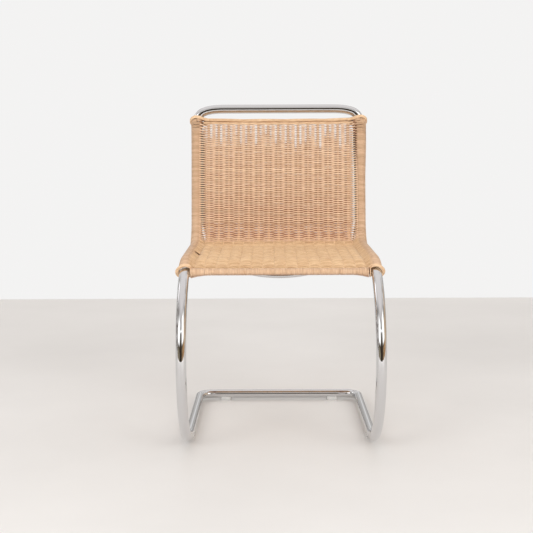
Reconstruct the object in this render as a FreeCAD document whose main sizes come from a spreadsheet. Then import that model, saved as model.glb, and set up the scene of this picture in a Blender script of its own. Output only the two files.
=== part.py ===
import FreeCAD, Part
import math
import os
import Sketcher

# Cantilever side chair: a chromed round-tube frame in two lengths, plugged together under the
# seat, with a cane seat and back woven over pairs of long stakes and bound round the tubes.
# Millimetres. X runs across the chair, +Z is up, the sitter faces -Y, and the origin is the
# middle of the chair's footprint on the floor.

STAKE_PAIRS = 15

# Driving dimensions: alias, value, what it is.
DRIVING = [
    ("tube_diameter", 24, "frame tube, outside"),
    ("tube_wall", 2, "frame tube wall"),
    ("frame_width", 470, "over the two side tubes"),
    ("glide_height", 5, "floor to the underside of the tube"),
    ("arc_radius", 213, "front arc, centre line"),
    ("seat_rise", 1, "slope of the side rails, up to the rear, degrees"),
    ("joint_setback", 25, "rear end of the lower tube, behind the arc's top"),
    ("rail_length", 281, "straight side rail"),
    ("bend_radius", 75.5, "seat to back bend, centre line"),
    ("post_rake", 9, "back posts, degrees off upright"),
    ("post_length", 274.5, "straight back post"),
    ("base_length", 408, "arc centre to rear floor bar"),
    ("base_corner", 35, "rear floor corners, centre line"),
    ("corner_turn", 90, "their turn, degrees"),
    ("hoop_radius", 29, "tight part of the top corner"),
    ("hoop_turn", 68, "its turn, degrees"),
    ("ease_radius", 100, "easy part of the top corner"),
    ("ease_turn", 17, "its turn, degrees"),
    ("crown_radius", 300, "last part of the top corner"),
    ("sleeve_length", 50, "plug inside the joint"),
    ("sleeve_wall", 3, "wall of the plug"),
    ("sleeve_slack", 0.05, "plug to the tube's bore"),
    ("screw_diameter", 5, "set screws of the joint"),
    ("screw_length", 5.4, "set screws of the joint"),
    ("screw_socket", 2.5, "hexagon socket across its corners"),
    ("brace_diameter", 12, "bowed brace under the seat"),
    ("brace_wall", 1.5, "its wall"),
    ("brace_setback", 60, "brace behind the arc's top"),
    ("brace_radius", 330, "radius of the bow"),
    ("brace_turn", 12.4, "half turn of the bow, degrees"),
    ("brace_flat", 2, "half of the flat in the middle of the bow"),
    ("brace_drop", 6, "brace's ends below the middle of the rails"),
    ("glide_length", 28, "floor glide along the tube"),
    ("glide_width", 22, "floor glide across the tube"),
    ("glide_rise", 11, "top of the glide's saddle above the floor"),
    ("glide_corner", 4, "rounded corners of the glide"),
    ("peg_diameter", 6, "glide's peg"),
    ("peg_rise", 14, "top of the peg above the floor"),
    ("front_glide_setback", 30, "front glides behind the arc centre"),
    ("rear_glide_spread", 150, "rear glides either side of the middle"),
    ("reed_diameter", 3, "round reed"),
    ("weave_thickness", 8.4, "woven sheet"),
    ("weave_width", 416, "woven sheet between the side wraps"),
    ("stake_pitch", 27.2, "between pairs of stakes"),
    ("stake_spacing", 3.4, "between the two stakes of a pair"),
    ("slot_width", 6.7, "channel that holds a pair"),
    ("slot_depth", 3.1, "channel that holds a pair"),
    ("front_border_turn", 24, "front border, degrees ahead of the arc's top"),
    ("front_core_diameter", 10, "cane rod in the front border"),
    ("front_roll_diameter", 17, "front border over its binding"),
    ("front_roll_width", 408.2, "front border, end to end"),
    ("front_collar_thickness", 6.8, "plaited collar round the tube"),
    ("front_weave_turn", 21.7, "front edge of the seat weave, degrees"),
    ("wrap_front_turn", 23, "front end of the side wraps, degrees"),
    ("bend_weave_margin", 12, "bend weave runs this far past the bend"),
    ("back_weave_top", 265.8, "top edge of the back weave, up the post"),
    ("twist_diameter", 7.6, "twisted row under the top border"),
    ("twist_height", 269.7, "its height up the post"),
    ("twist_width", 415.6, "twisted row, end to end"),
    ("top_roll_diameter", 9.4, "top border roll"),
    ("top_roll_height", 278.3, "its height up the post"),
    ("top_roll_width", 403.4, "top border, end to end"),
    ("top_collar_thickness", 9, "plaited collar round the tube"),
    ("top_collar_height", 278.9, "its height up the post"),
]

# Dimensions worked out from them.
DERIVED = [
    ("tube_radius", "tube_diameter / 2"),
    ("bore_radius", "tube_radius - tube_wall"),
    ("half_gauge", "frame_width / 2 - tube_radius"),
    ("floor_z", "glide_height + tube_radius"),
    ("arc_y", "(arc_radius - base_length) / 2"),
    ("arc_z", "floor_z + arc_radius"),
    ("arc_turn", "180 - seat_rise"),
    ("rail_y", "arc_y - arc_radius * sin(seat_rise * 1deg)"),
    ("rail_z", "arc_z + arc_radius * cos(seat_rise * 1deg)"),
    ("joint_y", "rail_y + joint_setback * cos(seat_rise * 1deg)"),
    ("joint_z", "rail_z + joint_setback * sin(seat_rise * 1deg)"),
    ("upper_rail_length", "rail_length - joint_setback"),
    ("bend_y", "rail_y + rail_length * cos(seat_rise * 1deg)"),
    ("bend_z", "rail_z + rail_length * sin(seat_rise * 1deg)"),
    ("bend_turn", "90 - post_rake - seat_rise"),
    ("bend_centre_y", "bend_y - bend_radius * sin(seat_rise * 1deg)"),
    ("bend_centre_z", "bend_z + bend_radius * cos(seat_rise * 1deg)"),
    ("post_y", "bend_centre_y + bend_radius * cos(post_rake * 1deg)"),
    ("post_z", "bend_centre_z - bend_radius * sin(post_rake * 1deg)"),
    ("hoop_bend", "hoop_turn + ease_turn"),
    ("crown_turn", "90 - hoop_bend"),
    ("hoop_inset", "hoop_radius * (1 - cos(hoop_turn * 1deg))"),
    ("ease_inset", "ease_radius * (cos(hoop_turn * 1deg) - cos(hoop_bend * 1deg))"),
    ("crown_inset", "crown_radius * cos(hoop_bend * 1deg)"),
    ("hoop_bar", "half_gauge - hoop_inset - ease_inset - crown_inset"),
    ("rear_y", "arc_y + base_length"),
    ("runner_length", "base_length - base_corner"),
    ("rear_bar", "half_gauge - base_corner"),
    ("sleeve_y", "joint_y - sleeve_length / 2 * cos(seat_rise * 1deg)"),
    ("sleeve_z", "joint_z - sleeve_length / 2 * sin(seat_rise * 1deg)"),
    ("sleeve_radius", "bore_radius - sleeve_slack"),
    ("sleeve_bore", "sleeve_radius - sleeve_wall"),
    ("screw_radius", "screw_diameter / 2"),
    ("screw_front_y", "joint_y - sleeve_length / 4"),
    ("screw_rear_y", "joint_y + sleeve_length / 4"),
    ("screw_sink", "joint_z - tube_radius + 0.5"),
    ("brace_y", "arc_y + brace_setback"),
    ("brace_outer", "brace_diameter / 2"),
    ("brace_inner", "brace_outer - brace_wall"),
    ("brace_rail_z", "rail_z + (brace_y - rail_y) * tan(seat_rise * 1deg)"),
    ("brace_bow_half", "brace_flat + brace_radius * sin(brace_turn * 1deg)"),
    ("brace_bow_rise", "brace_radius * (1 - cos(brace_turn * 1deg))"),
    ("brace_arm", "(half_gauge - brace_bow_half) / cos(brace_turn * 1deg)"),
    ("brace_end_z", "brace_rail_z - brace_drop"),
    ("brace_low", "brace_end_z - brace_bow_rise - brace_arm * sin(brace_turn * 1deg)"),
    ("glide_y", "arc_y + front_glide_setback"),
    ("peg_radius", "peg_diameter / 2"),
    ("wrap_radius", "tube_radius + reed_diameter"),
    ("reed_radius", "reed_diameter / 2"),
    ("stake_side", "stake_spacing / 2"),
    ("forward_heading", "180 + seat_rise"),
    ("down_heading", "270 - post_rake"),
    ("front_weave_sweep", "front_weave_turn - seat_rise"),
    ("wrap_front_sweep", "wrap_front_turn - seat_rise"),
    ("seat_weave_run", "rail_length - bend_weave_margin"),
    ("seat_weave_y", "bend_y - bend_weave_margin * cos(seat_rise * 1deg)"),
    ("seat_weave_z", "bend_z - bend_weave_margin * sin(seat_rise * 1deg)"),
    ("back_weave_run", "back_weave_top - bend_weave_margin"),
    ("back_weave_y", "post_y + bend_weave_margin * sin(post_rake * 1deg)"),
    ("back_weave_z", "post_z + bend_weave_margin * cos(post_rake * 1deg)"),
    ("stake_top_y", "post_y + back_weave_top * sin(post_rake * 1deg)"),
    ("stake_top_z", "post_z + back_weave_top * cos(post_rake * 1deg)"),
    ("wrap_top_y", "post_y + post_length * sin(post_rake * 1deg)"),
    ("wrap_top_z", "post_z + post_length * cos(post_rake * 1deg)"),
    ("core_radius", "front_core_diameter / 2"),
    ("roll_radius", "front_roll_diameter / 2"),
    ("front_border_y", "arc_y - arc_radius * sin(front_border_turn * 1deg)"),
    ("front_border_z", "arc_z + arc_radius * cos(front_border_turn * 1deg)"),
    ("front_border_pitch", "-front_border_turn"),
    ("front_collar_minor", "front_collar_thickness / 2"),
    ("front_collar_major", "tube_radius + front_collar_minor"),
    ("top_collar_minor", "top_collar_thickness / 2"),
    ("top_collar_major", "tube_radius + top_collar_minor"),
    ("top_collar_y", "post_y + top_collar_height * sin(post_rake * 1deg)"),
    ("top_collar_z", "post_z + top_collar_height * cos(post_rake * 1deg)"),
    ("twist_radius", "twist_diameter / 2"),
    ("twist_y", "post_y + twist_height * sin(post_rake * 1deg)"),
    ("twist_z", "post_z + twist_height * cos(post_rake * 1deg)"),
    ("top_roll_radius", "top_roll_diameter / 2"),
    ("top_roll_y", "post_y + top_roll_height * sin(post_rake * 1deg)"),
    ("top_roll_z", "post_z + top_roll_height * cos(post_rake * 1deg)"),
]

doc = FreeCAD.newDocument("cantilever_chair")
sheet = doc.addObject("Spreadsheet::Sheet", "Dimensions")
for row, (alias, number, meaning) in enumerate(DRIVING, 1):
    sheet.set("A%d" % row, meaning)
    sheet.set("B%d" % row, str(number))
    sheet.setAlias("B%d" % row, alias)
for row, (alias, rule) in enumerate(DERIVED, len(DRIVING) + 1):
    sheet.set("A%d" % row, alias.replace("_", " "))
    sheet.set("B%d" % row, "=" + rule)
    sheet.setAlias("B%d" % row, alias)
doc.recompute()
parts = []


def value(alias):
    """Number behind an alias, negative when the alias starts with a minus."""
    if alias.startswith("-"):
        return -float(sheet.get(alias[1:]))
    return float(sheet.get(alias))


def bound(alias, unit=""):
    """Expression for an alias, its leading minus kept."""
    sign = "-" if alias.startswith("-") else ""
    return sign + "Dimensions." + alias.lstrip("-") + unit


def new_body(label):
    body = doc.addObject("PartDesign::Body", label)
    body.Label = label
    parts.append(body)
    return body


def origin_plane(body, role):
    for feature in body.Origin.OriginFeatures:
        if feature.Role == role:
            return feature
    raise ValueError("no plane " + role)


def new_sketch(body, role, place=(None, None, None), tilt=None):
    """Sketch on an origin plane, shifted along the plane's own axes and tilted about its X."""
    sketch = body.newObject("Sketcher::SketchObject", body.Label + "_sketch")
    sketch.AttachmentSupport = (origin_plane(body, role), [""])
    sketch.MapMode = "FlatFace"
    spot = [value(alias) if alias else 0.0 for alias in place]
    turn = FreeCAD.Rotation(FreeCAD.Vector(1, 0, 0), value(tilt) if tilt else 0.0)
    sketch.AttachmentOffset = FreeCAD.Placement(FreeCAD.Vector(*spot), turn)
    for axis, alias in zip("xyz", place):
        if alias:
            sketch.setExpression("AttachmentOffset.Base." + axis, bound(alias))
    if tilt:
        sketch.setExpression("AttachmentOffset.Rotation.Angle", bound(tilt, " * 1deg"))
    return sketch


def constrain(sketch, alias, unit, *terms):
    """Sized constraint, bound to an alias."""
    number = math.radians(value(alias)) if unit else value(alias)
    index = sketch.addConstraint(Sketcher.Constraint(*terms, number))
    sketch.setExpression("Constraints[%d]" % index, bound(alias, unit))


def pin_point(sketch, geometry, corner, across, up):
    """Hold one point of a sketch at two aliases, None standing for zero."""
    if across:
        constrain(sketch, across, "", "DistanceX", -1, 1, geometry, corner)
    else:
        sketch.addConstraint(Sketcher.Constraint("PointOnObject", geometry, corner, -2))
    if up:
        constrain(sketch, up, "", "DistanceY", -1, 1, geometry, corner)
    else:
        sketch.addConstraint(Sketcher.Constraint("PointOnObject", geometry, corner, -1))


def draw_path(sketch, start, heading, pieces):
    """Tangent chain that begins with a line.

    start is two aliases, heading an alias or one of 0, 90. A piece is (length,) for a line or
    (radius, turn, side) for an arc that turns left (+1) or right (-1).
    """
    spot = FreeCAD.Vector(*[value(alias) if alias else 0.0 for alias in start], 0)
    angle = math.radians(heading if heading in (0, 90) else value(heading))
    tail = None
    for piece in pieces:
        ahead = FreeCAD.Vector(math.cos(angle), math.sin(angle), 0)
        if len(piece) == 1:
            end = spot + ahead * value(piece[0])
            index = sketch.addGeometry(Part.LineSegment(spot, end), False)
            first, last = 1, 2
        else:
            radius, turn, side = value(piece[0]), math.radians(value(piece[1])), piece[2]
            middle = spot + FreeCAD.Vector(-ahead.y, ahead.x, 0) * (radius * side)
            begin = math.atan2(spot.y - middle.y, spot.x - middle.x)
            finish = begin + turn * side
            circle = Part.Circle(middle, FreeCAD.Vector(0, 0, 1), radius)
            arc = Part.ArcOfCircle(circle, min(begin, finish), max(begin, finish))
            index = sketch.addGeometry(arc, False)
            first, last = (1, 2) if side > 0 else (2, 1)
            end = middle + FreeCAD.Vector(math.cos(finish), math.sin(finish), 0) * radius
            angle += turn * side
        if tail:
            sketch.addConstraint(Sketcher.Constraint("Tangent", tail[0], tail[1], index, first))
        else:
            pin_point(sketch, index, first, *start)
            aim_line(sketch, index, heading)
        if len(piece) == 1:
            constrain(sketch, piece[0], "", "Distance", index)
        else:
            constrain(sketch, piece[0], "", "Radius", index)
            constrain(sketch, piece[1], " * 1deg", "Angle", index)
        tail = (index, last)
        spot = end
    return sketch


def aim_line(sketch, index, heading):
    if heading == 0:
        sketch.addConstraint(Sketcher.Constraint("Horizontal", index))
    elif heading == 90:
        sketch.addConstraint(Sketcher.Constraint("Vertical", index))
    else:
        constrain(sketch, heading, " * 1deg", "Angle", index)


def draw_circles(sketch, radii, across=None, up=None):
    """Circles about one point of a sketch."""
    spot = FreeCAD.Vector(value(across) if across else 0, value(up) if up else 0, 0)
    for alias in radii:
        circle = Part.Circle(spot, FreeCAD.Vector(0, 0, 1), value(alias))
        index = sketch.addGeometry(circle, False)
        pin_point(sketch, index, 3, across, up)
        constrain(sketch, alias, "", "Radius", index)
    return sketch


def draw_rectangle(sketch, width, height, step=0):
    """Rectangle centred on the sketch's X axis, step stake pitches from its origin."""
    middle = step * value("stake_pitch")
    half_x, half_y = value(width) / 2, value(height) / 2
    corners = [(-half_x, -half_y), (half_x, -half_y), (half_x, half_y), (-half_x, half_y)]
    points = [FreeCAD.Vector(middle + x, y, 0) for x, y in corners]
    lines = [Part.LineSegment(points[i], points[(i + 1) % 4]) for i in range(4)]
    low, right, top, left = sketch.addGeometry(lines, False)
    for one, other in ((low, right), (right, top), (top, left), (left, low)):
        sketch.addConstraint(Sketcher.Constraint("Coincident", one, 2, other, 1))
    for line, kind in ((low, "Horizontal"), (top, "Horizontal"), (left, "Vertical")):
        sketch.addConstraint(Sketcher.Constraint(kind, line))
    sketch.addConstraint(Sketcher.Constraint("Symmetric", right, 1, right, 2, -1))
    constrain(sketch, width, "", "DistanceX", low, 1, low, 2)
    constrain(sketch, height, "", "DistanceY", right, 1, right, 2)
    offset = sketch.addConstraint(Sketcher.Constraint("DistanceX", -1, 1, low, 1, middle - half_x))
    rule = "Dimensions.stake_pitch * %d - Dimensions.%s / 2" % (step, width)
    sketch.setExpression("Constraints[%d]" % offset, rule)
    return sketch


def sweep(body, profile, path, kind="PartDesign::AdditivePipe"):
    doc.recompute()
    pipe = body.newObject(kind, body.Label + "_sweep")
    pipe.Profile = profile
    pipe.Spine = (path, ["Edge%d" % (i + 1) for i in range(path.GeometryCount)])
    doc.recompute()
    return pipe


def pad(body, profile, length, both_ways=False, up=True):
    feature = body.newObject("PartDesign::Pad", body.Label + "_pad")
    feature.Profile = profile
    feature.Length = abs(value(length))
    feature.setExpression("Length", bound(length))
    feature.SideType = "Symmetric" if both_ways else "One side"
    feature.Reversed = not up
    doc.recompute()
    return feature


def pocket(body, profile, length=None):
    """Cut along the sketch's normal for a length, or both ways through everything."""
    before = body.Shape.Volume
    feature = body.newObject("PartDesign::Pocket", body.Label + "_pocket")
    feature.Profile = profile
    if length:
        feature.Reversed = True
        feature.Length = value(length)
        feature.setExpression("Length", bound(length))
    else:
        feature.SideType = "Symmetric"
        feature.Type = "ThroughAll"
    doc.recompute()
    if not body.Shape.Volume < before - 0.1:
        raise ValueError("nothing cut from " + body.Label)
    return feature


def mirror_whole(body):
    feature = body.newObject("PartDesign::Mirrored", body.Label + "_mirror")
    feature.TransformMode = "Whole shape"
    feature.MirrorPlane = (origin_plane(body, "YZ_Plane"), [""])
    doc.recompute()
    body.Tip = feature
    doc.recompute()


def mirror_cut(body, cut):
    feature = body.newObject("PartDesign::Mirrored", body.Label + "_mirror")
    feature.TransformMode = "Features"
    feature.Originals = [cut]
    feature.MirrorPlane = (origin_plane(body, "YZ_Plane"), [""])
    doc.recompute()
    body.Tip = feature
    doc.recompute()


def mirror_copy(body, label):
    """Left-hand twin of a right-hand piece."""
    twin = doc.addObject("Part::Mirroring", label)
    twin.Label = label
    twin.Source = body
    twin.Normal = FreeCAD.Vector(1, 0, 0)
    parts.append(twin)


def draw_ring(body, sketch, major, minor):
    """Ring round the sketch's own vertical axis."""
    draw_circles(sketch, (minor,), major)
    ring = body.newObject("PartDesign::Revolution", body.Label + "_ring")
    ring.Profile = sketch
    ring.ReferenceAxis = (sketch, ["V_Axis"])
    ring.Angle = 360
    doc.recompute()


def rail_section(body, y_alias, z_alias, x_alias="half_gauge"):
    """Sketch square to the side rails."""
    return new_sketch(body, "XZ_Plane", (x_alias, z_alias, "-" + y_alias), "seat_rise")


def post_section(body, y_alias, z_alias, x_alias=None):
    """Sketch square to the back posts."""
    return new_sketch(body, "XY_Plane", (x_alias, y_alias, z_alias), "-post_rake")


def back_plane(body):
    """Sketch in the plane of the back, its origin level with the foot of the posts."""
    return new_sketch(body, "XZ_Plane", (None, "post_z", "-post_y"), "-post_rake")


TUBE = ("tube_radius", "bore_radius")
HOOP = (
    ("post_length",),
    ("hoop_radius", "hoop_turn", 1),
    ("ease_radius", "ease_turn", 1),
    ("crown_radius", "crown_turn", 1),
    ("hoop_bar",),
)

# Upper tube: side rails, bends, posts and the hoop over the back.
body = new_body("upper_frame_tube")
profile = draw_circles(rail_section(body, "joint_y", "joint_z"), TUBE)
path = new_sketch(body, "YZ_Plane", (None, None, "half_gauge"))
draw_path(path, ("joint_y", "joint_z"), "seat_rise", (("upper_rail_length",), ("bend_radius", "bend_turn", 1)))
sweep(body, profile, path)
profile = draw_circles(post_section(body, "post_y", "post_z", "half_gauge"), TUBE)
sweep(body, profile, draw_path(back_plane(body), ("half_gauge", None), 90, HOOP))
holes = new_sketch(body, "XY_Plane", (None, None, "arc_z"))
draw_circles(holes, ("screw_radius",), "half_gauge", "screw_rear_y")
pocket(body, holes, "arc_radius")
mirror_whole(body)

# Lower tube: short rail ends, front arcs, floor runners and the rear floor bar.
body = new_body("base_frame_tube")
profile = draw_circles(rail_section(body, "joint_y", "joint_z"), TUBE)
path = new_sketch(body, "YZ_Plane", (None, None, "half_gauge"))
lower_side = (("joint_setback",), ("arc_radius", "arc_turn", 1))
sweep(body, profile, draw_path(path, ("joint_y", "joint_z"), "forward_heading", lower_side))
profile = new_sketch(body, "XZ_Plane", ("half_gauge", "floor_z", "-arc_y"))
draw_circles(profile, TUBE)
path = new_sketch(body, "XY_Plane", (None, None, "floor_z"))
draw_path(path, ("half_gauge", "arc_y"), 90, (("runner_length",), ("base_corner", "corner_turn", 1), ("rear_bar",)))
sweep(body, profile, path)
holes = new_sketch(body, "XY_Plane")
draw_circles(holes, ("peg_radius",), "half_gauge", "glide_y")
draw_circles(holes, ("peg_radius",), "rear_glide_spread", "rear_y")
pocket(body, holes, "floor_z")
holes = new_sketch(body, "XY_Plane", (None, None, "arc_z"))
draw_circles(holes, ("screw_radius",), "half_gauge", "screw_front_y")
pocket(body, holes, "arc_radius")
mirror_whole(body)

# Plugs that join the two tubes, each held by two set screws from below.
body = new_body("joint_sleeve_right")
profile = draw_circles(rail_section(body, "sleeve_y", "sleeve_z"), ("sleeve_radius", "sleeve_bore"))
pad(body, profile, "sleeve_length", up=False)
holes = new_sketch(body, "XY_Plane", (None, None, "arc_z"))
for y_alias in ("screw_front_y", "screw_rear_y"):
    draw_circles(holes, ("screw_radius",), "half_gauge", y_alias)
pocket(body, holes, "arc_radius")
mirror_copy(body, "joint_sleeve_left")

screws = []
for gauge in ("-half_gauge", "half_gauge"):
    for y_alias in ("screw_front_y", "screw_rear_y"):
        shank = doc.addObject("Part::Cylinder", "shank")
        shank.setExpression("Radius", bound("screw_radius"))
        shank.setExpression("Height", bound("screw_length"))
        socket = doc.addObject("Part::Prism", "socket")
        socket.Polygon = 6
        socket.setExpression("Circumradius", bound("screw_socket") + " / 2")
        socket.setExpression("Height", bound("screw_length") + " / 2")
        for solid in (shank, socket):
            solid.setExpression("Placement.Base.x", bound(gauge))
            solid.setExpression("Placement.Base.y", bound(y_alias))
            solid.setExpression("Placement.Base.z", bound("screw_sink"))
        screw = doc.addObject("Part::Cut", "set_screw")
        screw.Base = shank
        screw.Tool = socket
        screws.append(screw)
group = doc.addObject("Part::Compound", "joint_screws")
group.Label = "joint_screws"
group.Links = screws
parts.append(group)

# Bowed brace under the seat, its ends coped to the rails.
BOW = (("brace_flat",), ("brace_radius", "brace_turn", 1), ("brace_arm",))
body = new_body("seat_cross_brace")
profile = new_sketch(body, "YZ_Plane", ("brace_y", "brace_low"))
draw_circles(profile, ("brace_outer", "brace_inner"))
path = new_sketch(body, "XZ_Plane", (None, None, "-brace_y"))
sweep(body, profile, draw_path(path, (None, "brace_low"), 0, BOW))
pocket(body, draw_circles(rail_section(body, "brace_y", "brace_rail_z"), ("tube_radius",)))
mirror_whole(body)

# Clear floor glides, saddled to the tube and pegged into it.
GLIDES = (("front", "half_gauge", "glide_y"), ("rear", "rear_glide_spread", "rear_y"))
for place, x_alias, y_alias in GLIDES:
    body = new_body("floor_glide_" + place + "_right")
    block = new_sketch(body, "XY_Plane", (x_alias, y_alias))
    if place == "front":
        saddle = pad(body, draw_rectangle(block, "glide_width", "glide_length"), "glide_rise")
        tube = new_sketch(body, "XZ_Plane", (x_alias, "floor_z", "-" + y_alias))
    else:
        saddle = pad(body, draw_rectangle(block, "glide_length", "glide_width"), "glide_rise")
        tube = new_sketch(body, "YZ_Plane", (y_alias, "floor_z", x_alias))
    corners = []
    for number, edge in enumerate(saddle.Shape.Edges, 1):
        if abs(edge.tangentAt(edge.FirstParameter).z) > 0.9:
            corners.append("Edge%d" % number)
    rounding = body.newObject("PartDesign::Fillet", body.Label + "_corners")
    rounding.Base = (saddle, corners)
    rounding.setExpression("Radius", bound("glide_corner"))
    doc.recompute()
    pocket(body, draw_circles(tube, ("tube_radius",)))
    peg = draw_circles(new_sketch(body, "XY_Plane", (x_alias, y_alias)), ("peg_radius",))
    pad(body, peg, "peg_rise")
    mirror_copy(body, "floor_glide_" + place + "_left")

# Long stakes, in pairs from the front border to the top border.
rods = []
for side in ("-stake_side", "stake_side"):
    route = doc.addObject("Sketcher::SketchObject", "stake_route")
    upright = FreeCAD.Rotation(FreeCAD.Vector(1, 1, 1), 120)
    route.Placement = FreeCAD.Placement(FreeCAD.Vector(value(side), 0, 0), upright)
    route.setExpression("Placement.Base.x", bound(side))
    draw_path(route, ("stake_top_y", "stake_top_z"), "down_heading", (
        ("back_weave_top",),
        ("bend_radius", "bend_turn", -1),
        ("rail_length",),
        ("arc_radius", "front_weave_sweep", 1),
    ))
    cane = doc.addObject("Part::Circle", "stake_section")
    cane.setExpression("Radius", bound("reed_radius"))
    turn = FreeCAD.Rotation(FreeCAD.Vector(-1, 0, 0), value("post_rake"))
    cane.Placement = FreeCAD.Placement(FreeCAD.Vector(), turn)
    cane.setExpression("Placement.Base.x", bound(side))
    cane.setExpression("Placement.Base.y", bound("stake_top_y"))
    cane.setExpression("Placement.Base.z", bound("stake_top_z"))
    cane.setExpression("Placement.Rotation.Angle", bound("post_rake", " * 1deg"))
    doc.recompute()
    rod = doc.addObject("Part::Sweep", "stake")
    rod.Sections = [cane]
    rod.Spine = (route, ["Edge%d" % (i + 1) for i in range(route.GeometryCount)])
    rod.Solid = True
    rods.append(rod)
for number in range(STAKE_PAIRS):
    pair = doc.addObject("Part::Compound", "stake_pair_%02d" % (number + 1))
    pair.Label = "stake_pair_%02d" % (number + 1)
    pair.Links = rods
    step = number - (STAKE_PAIRS - 1) // 2
    pair.setExpression("Placement.Base.x", "Dimensions.stake_pitch * %d" % step)
    parts.append(pair)


def clear_brace(body):
    """Make room for one arm of the brace."""
    before = body.Shape.Volume
    section = new_sketch(body, "YZ_Plane", ("brace_y", "brace_low"))
    draw_circles(section, ("brace_outer",))
    route = new_sketch(body, "XZ_Plane", (None, None, "-brace_y"))
    draw_path(route, (None, "brace_low"), 0, BOW)
    cut = sweep(body, section, route, "PartDesign::SubtractivePipe")
    if not body.Shape.Volume < before - 0.1:
        raise ValueError("nothing cleared from " + body.Label)
    return cut


def draw_weave(sketch):
    """Section of the woven sheet with a channel for every pair of stakes."""
    draw_rectangle(sketch, "weave_width", "weave_thickness")
    for number in range(STAKE_PAIRS):
        draw_rectangle(sketch, "slot_width", "slot_depth", number - (STAKE_PAIRS - 1) // 2)
    return sketch


# Woven sheet: the seat and its front edge, the bend, and the back.
body = new_body("seat_weave")
profile = draw_weave(rail_section(body, "seat_weave_y", "seat_weave_z", None))
seat_run = (("seat_weave_run",), ("arc_radius", "front_weave_sweep", 1))
path = new_sketch(body, "YZ_Plane")
sweep(body, profile, draw_path(path, ("seat_weave_y", "seat_weave_z"), "forward_heading", seat_run))
cleared = clear_brace(body)
mirror_cut(body, cleared)

body = new_body("bend_weave")
profile = draw_weave(rail_section(body, "seat_weave_y", "seat_weave_z", None))
bend_run = (("bend_weave_margin",), ("bend_radius", "bend_turn", 1), ("bend_weave_margin",))
path = new_sketch(body, "YZ_Plane")
sweep(body, profile, draw_path(path, ("seat_weave_y", "seat_weave_z"), "seat_rise", bend_run))

body = new_body("back_weave")
profile = draw_weave(post_section(body, "back_weave_y", "back_weave_z"))
pad(body, profile, "back_weave_run")

# Reed bound round the side tubes, open where the brace passes.
body = new_body("side_wrap_right")
profile = post_section(body, "wrap_top_y", "wrap_top_z", "half_gauge")
draw_circles(profile, ("wrap_radius", "tube_radius"))
path = new_sketch(body, "YZ_Plane", (None, None, "half_gauge"))
draw_path(path, ("wrap_top_y", "wrap_top_z"), "down_heading", (
    ("post_length",),
    ("bend_radius", "bend_turn", -1),
    ("rail_length",),
    ("arc_radius", "wrap_front_sweep", 1),
))
sweep(body, profile, path)
clear_brace(body)
mirror_copy(body, "side_wrap_left")

# Borders across the front edge and over the top of the back.
ACROSS = (
    ("front_border_core", "front_roll_width", ("core_radius",), "front_border_y", "front_border_z"),
    ("front_border_binding", "front_roll_width", ("roll_radius", "core_radius"), "front_border_y", "front_border_z"),
    ("top_twist_row", "twist_width", ("twist_radius",), "twist_y", "twist_z"),
    ("top_border_roll", "top_roll_width", ("top_roll_radius",), "top_roll_y", "top_roll_z"),
)
for label, width, radii, y_alias, z_alias in ACROSS:
    body = new_body(label)
    profile = draw_circles(new_sketch(body, "YZ_Plane", (y_alias, z_alias)), radii)
    pad(body, profile, width, both_ways=True)

# Plaited collars where the borders pass round the tubes.
body = new_body("top_collar_right")
ring = new_sketch(body, "XZ_Plane", ("half_gauge", "top_collar_z", "-top_collar_y"), "-post_rake")
draw_ring(body, ring, "top_collar_major", "top_collar_minor")
tube = draw_circles(post_section(body, "post_y", "post_z", "half_gauge"), ("tube_radius",))
path = draw_path(back_plane(body), ("half_gauge", None), 90, HOOP)
sweep(body, tube, path, "PartDesign::SubtractivePipe")
mirror_copy(body, "top_collar_left")

body = new_body("front_collar_right")
place = ("half_gauge", "front_border_y", "front_border_z")
ring = new_sketch(body, "XY_Plane", place, "front_border_turn")
draw_ring(body, ring, "front_collar_major", "front_collar_minor")
mirror_copy(body, "front_collar_left")

doc.recompute()
for item in doc.Objects:
    if "Invalid" in item.State or "Error" in item.State:
        raise ValueError("failed: " + item.Label)
for item in parts:
    if item.Shape.isNull() or not item.Shape.isValid() or item.Shape.Volume < 1:
        raise ValueError("bad shape: " + item.Label)
os.makedirs("parts", exist_ok=True)
for item in parts:
    item.Shape.exportStep(os.path.join("parts", item.Label + ".step"))
print("wrote %d parts" % len(parts))
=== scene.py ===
import math
import random
from collections import namedtuple

import bpy
import numpy as np
from mathutils import Matrix, Vector


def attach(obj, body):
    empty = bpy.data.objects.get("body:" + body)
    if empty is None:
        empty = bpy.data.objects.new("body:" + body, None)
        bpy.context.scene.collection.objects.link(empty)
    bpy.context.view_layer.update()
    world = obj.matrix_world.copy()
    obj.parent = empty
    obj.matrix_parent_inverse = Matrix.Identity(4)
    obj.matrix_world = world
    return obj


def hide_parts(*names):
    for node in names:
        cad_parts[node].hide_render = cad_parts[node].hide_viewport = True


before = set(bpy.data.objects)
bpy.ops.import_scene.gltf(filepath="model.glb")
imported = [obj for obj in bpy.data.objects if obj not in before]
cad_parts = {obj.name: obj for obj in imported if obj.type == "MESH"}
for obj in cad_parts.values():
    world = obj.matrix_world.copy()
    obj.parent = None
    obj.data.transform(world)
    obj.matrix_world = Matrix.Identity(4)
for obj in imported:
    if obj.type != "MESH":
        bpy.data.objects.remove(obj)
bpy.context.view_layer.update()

RNG = random.Random(20)

# Frame of the chair, in metres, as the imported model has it.
MM = 0.001
HALF_GAUGE = 223 * MM
TUBE_RADIUS = 12 * MM
ARC_RADIUS = 213 * MM
ARC_Y = -97.5 * MM
ARC_Z = 230 * MM
SEAT_RISE = math.radians(1)
RAIL_LENGTH = 281 * MM
BEND_RADIUS = 75.5 * MM
POST_RAKE = math.radians(9)
FRONT_TURN = math.radians(24)
STAKE_PITCH = 27.2 * MM
STAKES_OUT = 7

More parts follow.
